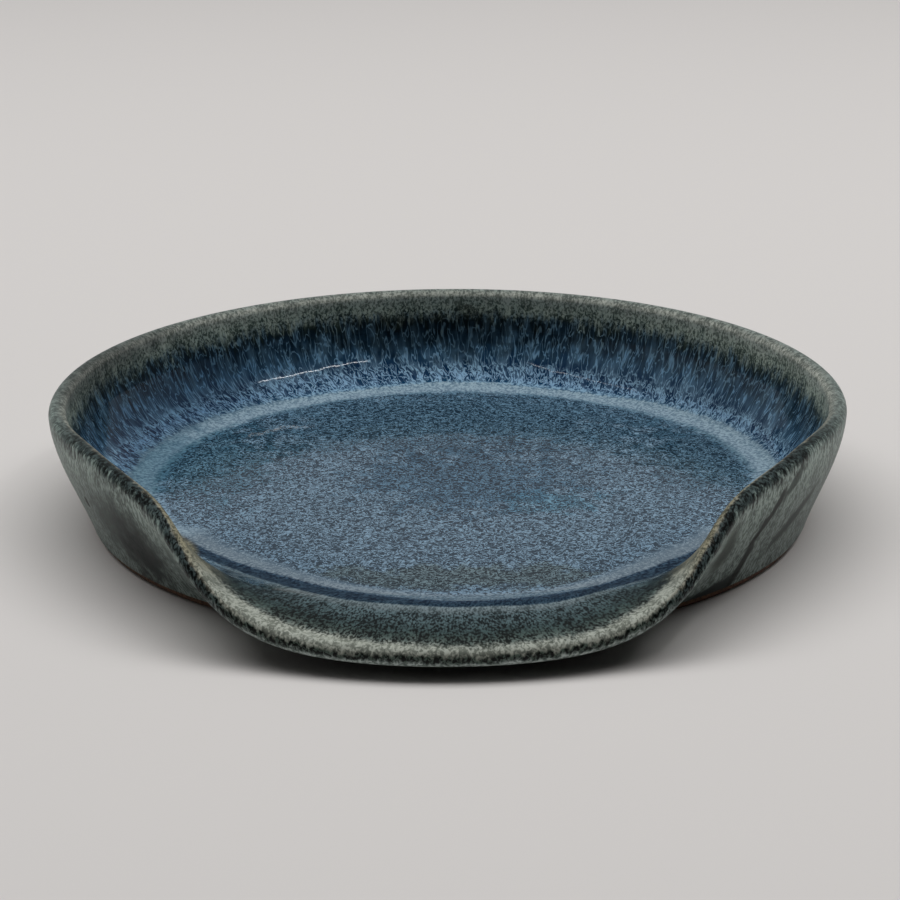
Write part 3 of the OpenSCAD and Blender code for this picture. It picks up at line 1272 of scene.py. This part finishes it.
    @staticmethod
    def clouded(at: Surface, colour: Socket, dipped: Socket) -> Socket:
        """Stains a colour with the clouds.

        Args:
            at: What is read at each place.
            colour: The colour to stain.
            dipped: The shifted run, which tells the floor from the wall.

        Returns:
            The stained colour.
        """
        tree = at.tree
        frays = {
            place: add_node(
                tree, "ShaderNodeTexNoise", {"Vector": place, "Scale": per_mm(FRAY_SIZE), "Detail": 4.0}
            ).outputs[0]
            for place in (at.flow, at.spot)
        }
        on_floor = at.within((dipped, *FLOOR_FROM))
        for cloud in CLOUDS:
            place = at.flow if cloud.on_wall else at.spot
            local = add_node(
                tree, "ShaderNodeMapping",
                {"Vector": place, "Location": [v * MM for v in cloud.place],
                 "Rotation": [math.radians(v) for v in cloud.turn], "Scale": [v * MM for v in cloud.reach]},
                vector_type="TEXTURE",
            ).outputs[0]
            far = add_node(tree, "ShaderNodeVectorMath", {0: local}, operation="LENGTH").outputs["Value"]
            edge = add_node(
                tree, "ShaderNodeMath", {0: frays[place], 1: cloud.fray, 2: far}, operation="MULTIPLY_ADD"
            ).outputs[0]
            inside = at.within((edge, cloud.edge + cloud.fade / 2, cloud.edge - cloud.fade / 2))
            if not cloud.on_wall:
                inside = add_node(
                    tree, "ShaderNodeMath", {0: inside, 1: on_floor}, operation="MULTIPLY"
                ).outputs[0]
            colour = add_node(
                tree, "ShaderNodeMix", {0: inside, 6: colour, 7: linear(cloud.tint)},
                data_type="RGBA", blend_type="MULTIPLY",
            ).outputs[2]
        return colour


@dataclass(frozen=True)
class ToastedClay:
    """Bare stoneware, trimmed on the wheel and toasted brown in the kiln: matte, with fine grog.

    grit_size and grit_depth are the grog's, in millimetres.
    """

    name: str = "stoneware_trimmed_and_toasted"
    slot: str = "bare_stoneware"
    body: str = "#7a5a44"
    grog: str = "#4d382b"
    grit_size: float = 0.5
    grit_depth: float = 0.1
    roughness: float = 0.85

    def make(self) -> bpy.types.Material:
        """Makes the material.

        Returns:
            The clay, ready to be assigned.
        """
        material = start_material(self.name)
        tree = material.node_tree
        spot = add_node(tree, "ShaderNodeTexCoord").outputs["Object"]
        grit = add_node(
            tree, "ShaderNodeTexNoise", {"Vector": spot, "Scale": per_mm(self.grit_size), "Detail": 4.0}
        ).outputs[0]
        share = add_node(tree, "ShaderNodeMapRange", {0: grit, 1: 0.35, 2: 0.65}).outputs[0]
        colour = add_node(
            tree, "ShaderNodeMix", {0: share, 6: linear(self.grog), 7: linear(self.body)}, data_type="RGBA"
        ).outputs[2]
        bump = add_node(
            tree, "ShaderNodeBump", {"Strength": 0.5, "Distance": self.grit_depth * MM, "Height": grit}
        ).outputs[0]
        shader = add_node(
            tree, "ShaderNodeBsdfPrincipled",
            {"Base Color": colour, "Roughness": self.roughness, "Normal": bump},
        )
        add_node(tree, "ShaderNodeOutputMaterial", {"Surface": shader.outputs[0]})
        return material


@dataclass(frozen=True)
class Lamp:
    """An area lamp that shines straight down.

    place and size are in metres, power is in watts and turn is in degrees. mirrored tells whether
    the glaze shows it as a highlight.
    """

    name: str
    place: tuple[float, float, float]
    size: tuple[float, float]
    power: float
    turn: float = 0.0
    mirrored: bool = True

    def add(self) -> None:
        """Adds the lamp to the scene."""
        light = bpy.data.lights.new(self.name, "AREA")
        light.shape = "RECTANGLE"
        light.size, light.size_y = self.size
        light.energy = self.power
        obj = bpy.data.objects.new(self.name, light)
        obj.location = self.place
        obj.rotation_euler.z = math.radians(self.turn)
        obj.visible_glossy = self.mirrored
        bpy.context.scene.collection.objects.link(obj)


@dataclass
class Studio:
    """The pale floor, the soft light and the camera, at the photograph's place.

    The camera's place is in millimetres, and floor_half, half the floor's width, in metres. The walls
    are brightest towards wall_side and fade to the dark open front over wall_fade, and
    wall_strengths are those of the front and the walls.
    """

    camera_place: tuple[float, float, float] = (0.73, -406.1, 147.0)
    pitch: float = 18.67
    yaw: float = -0.09
    roll: float = -0.36
    focal_px: float = 2400.0
    frame_px: float = 900.0
    sensor: float = 36.0
    floor_half: float = 4.0
    lamps: tuple[Lamp, ...] = (
        Lamp("overhead_softbox", (0.0, 0.27, 1.3), (2.6, 0.85), 24.3, mirrored=False),
        Lamp("light_bar_left", (-0.31, -0.06, 0.62), (0.006, 0.42), 0.08, turn=22.0),
        Lamp("light_bar_right", (0.31, -0.06, 0.62), (0.006, 0.42), 0.32, turn=-22.0),
    )
    wall_side: tuple[float, float, float] = (-0.3, 0.95, 0.0)
    wall_fade: tuple[float, float] = (-0.65, 0.15)
    wall_strengths: tuple[float, float] = (0.002, 0.2)
    wall_light: tuple[float, float, float, float] = (1.0, 0.985, 0.975, 1.0)

    def build(self) -> None:
        """Builds the whole studio: the camera, the floor, the lamps and the walls."""
        self.add_camera()
        self.add_floor()
        for lamp in self.lamps:
            lamp.add()
        self.add_world()
        bpy.context.scene.view_settings.view_transform = "Standard"

    def add_camera(self) -> None:
        """Adds the camera and makes it the scene's own."""
        camera = bpy.data.cameras.new("camera")
        camera.sensor_width = self.sensor
        camera.lens = self.focal_px / self.frame_px * self.sensor
        camera.clip_start = 0.01
        camera.clip_end = 20.0
        obj = bpy.data.objects.new("camera", camera)
        bpy.context.scene.collection.objects.link(obj)
        p, y, r = (math.radians(v) for v in (self.pitch, self.yaw, self.roll))
        ahead = Vector((math.sin(y) * math.cos(p), math.cos(y) * math.cos(p), -math.sin(p)))
        side = ahead.cross(Vector((0, 0, 1))).normalized()
        up = side.cross(ahead)
        rolled_side = math.cos(r) * side + math.sin(r) * up
        rolled_up = -math.sin(r) * side + math.cos(r) * up
        turn = Matrix((rolled_side, rolled_up, -ahead)).transposed().to_4x4()
        obj.matrix_world = Matrix.Translation(Vector(self.camera_place) * MM) @ turn
        bpy.context.scene.camera = obj

    def add_floor(self) -> None:
        """Adds the plain pale floor."""
        bpy.ops.object.select_all(action="DESELECT")
        bpy.ops.mesh.primitive_plane_add(size=2 * self.floor_half)
        floor = bpy.context.object
        floor.name = "studio_floor"
        # Matte paper, rolled flat: an even pale grey with hardly any gloss
        material = start_material("matte_paper_sweep")
        tree = material.node_tree
        shader = add_node(
            tree, "ShaderNodeBsdfPrincipled",
            {"Base Color": linear("#cdcac8"), "Roughness": 0.9, "Specular IOR Level": 0.1},
        )
        add_node(tree, "ShaderNodeOutputMaterial", {"Surface": shader.outputs[0]})
        floor.data.materials.append(material)

    def add_world(self) -> None:
        """Adds the studio's pale walls behind and beside the dish, and its dark open front."""
        world = bpy.data.worlds.new("studio_walls")
        bpy.context.scene.world = world
        world.use_nodes = True
        tree = world.node_tree
        tree.nodes.clear()
        toward = add_node(tree, "ShaderNodeTexCoord").outputs["Generated"]
        back = add_node(
            tree, "ShaderNodeVectorMath", {0: toward, 1: self.wall_side}, operation="DOT_PRODUCT"
        ).outputs["Value"]
        start, end = self.wall_fade
        front, walls = self.wall_strengths
        room = add_node(
            tree, "ShaderNodeMapRange", {0: back, 1: start, 2: end, 3: front, 4: walls},
            interpolation_type="SMOOTHSTEP",
        ).outputs[0]
        background = add_node(tree, "ShaderNodeBackground", {"Color": self.wall_light, "Strength": room})
        add_node(tree, "ShaderNodeOutputWorld", {"Surface": background.outputs[0]})


def main() -> None:
    """Builds the dish's layers from the clay outwards, then the studio, and notes the sizes."""
    logging.basicConfig(level=logging.INFO, format="%(name)s: %(message)s")
    section = Section(DishSizes())
    finishes = {
        # Thrown, trimmed at the foot and left bare: dull brown, with fine dark grit
        Layer.CLAY: ToastedClay(),
        # Poured inside and fired until it ran: deep wet glass under pale blue hairs and curls
        Layer.LINER: FlowingGlaze(
            "blue_liner_glaze_fired_to_a_run", "blue_glaze",
            glass_roughness=0.05, crystal_roughness=0.1, specular=0.34,
        ),
        # Dipped over the rim, where it stayed thinner: satin grey-green speckle, with black glass where
        # it ran off the edge
        Layer.RIM: FlowingGlaze(
            "grey_green_rim_glaze_fired_to_a_run", "grey_green_glaze",
            glass_roughness=0.38, crystal_roughness=0.5, specular=0.14,
        ),
    }
    for layer, finish in finishes.items():
        piece = ThrownLayer(section, layer).build()
        piece.data.materials.append(finish.make())
        LOG.info("%s: %d faces, %s mm", piece.name, len(piece.data.polygons),
                 tuple(round(v / MM, 2) for v in piece.dimensions))
    Studio().build()


if __name__ == "__main__":
    main()
